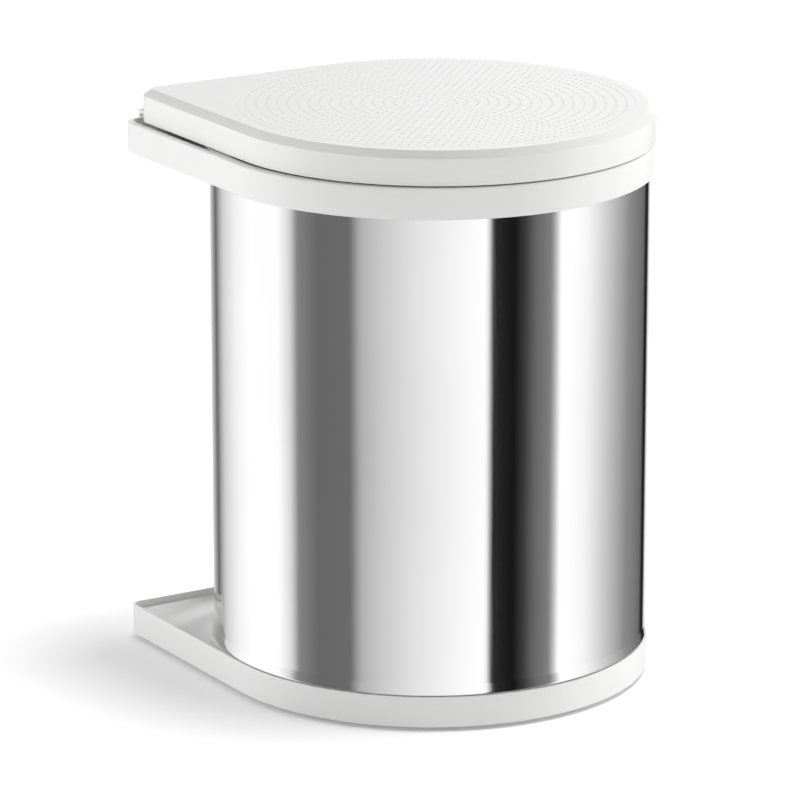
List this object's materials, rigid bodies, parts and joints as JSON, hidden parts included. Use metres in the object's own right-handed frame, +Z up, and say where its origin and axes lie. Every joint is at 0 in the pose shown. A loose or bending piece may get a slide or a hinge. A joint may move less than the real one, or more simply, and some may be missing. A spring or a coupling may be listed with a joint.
{
  "type": "swing-out cabinet bin",
  "caption": "Round steel waste bin that swings out of a cabinet on a wall bracket, with a lid that a cam lifts and an inner bucket.",
  "frame": {"origin": "on the floor, under the middle of the whole object's bounding box", "axes": "+Z up, -X into the cabinet's side wall that carries the bracket, -Y out of the cabinet's door; the bin's own upright axis is at x = 0.0068"},
  "size_m": [0.2784, 0.2648, 0.3443],
  "materials": {
    "bracket_steel": "white powder coat",
    "zinc_steel": "zinc plated",
    "nylon": "natural nylon",
    "ring_plastic": "satin white",
    "tray_plastic": "satin white",
    "lid_plastic": "satin white, fine raised pips on top",
    "polished_steel": "mirror-polished stainless steel",
    "bucket_plastic": "matt dark grey"
  },
  "bodies": {
    "bracket": {"wall_plate": "bracket_steel", "upper_arm": "bracket_steel", "lower_arm": "bracket_steel", "arm_screw_1": "zinc_steel", "arm_screw_2": "zinc_steel", "arm_screw_3": "zinc_steel", "arm_screw_4": "zinc_steel", "lid_hinge_bracket": "bracket_steel", "hinge_screw_1": "zinc_steel", "hinge_screw_2": "zinc_steel", "lid_hinge_pin": "zinc_steel", "upper_pivot_pin": "zinc_steel", "pivot_clip": "zinc_steel", "lower_pivot_pin": "zinc_steel", "thrust_washer": "nylon"},
    "bin": {"base_tray": "tray_plastic", "steel_sleeve": "polished_steel", "top_ring": "ring_plastic", "inner_bucket": "bucket_plastic", "lift_cam": "nylon", "cam_screw_1": "zinc_steel", "cam_screw_2": "zinc_steel", "upper_bush": "nylon", "lower_bush": "nylon"},
    "lid": {"lid_shell": "lid_plastic", "lid_hinge_leaf": "bracket_steel", "lid_screw_1": "zinc_steel", "lid_screw_2": "zinc_steel", "lid_screw_3": "zinc_steel", "cam_follower": "nylon"}
  },
  "joints": [
    {"name": "bin_swing", "type": "hinge", "parent": "bracket", "child": "bin", "pos_m": [-0.1052, -0.112, 0.16], "axis": [0, 0, -1], "range_deg": [0, 90]},
    {"name": "lid_lift", "type": "hinge", "parent": "bracket", "child": "lid", "pos_m": [-0.1302, 0.034, 0.331], "axis": [0, -1, 0], "range_deg": [0, 12]}
  ],
  "couplings": [
    {"joint": "lid_lift", "follows": "bin_swing", "ratio": 0.13333}
  ]
}
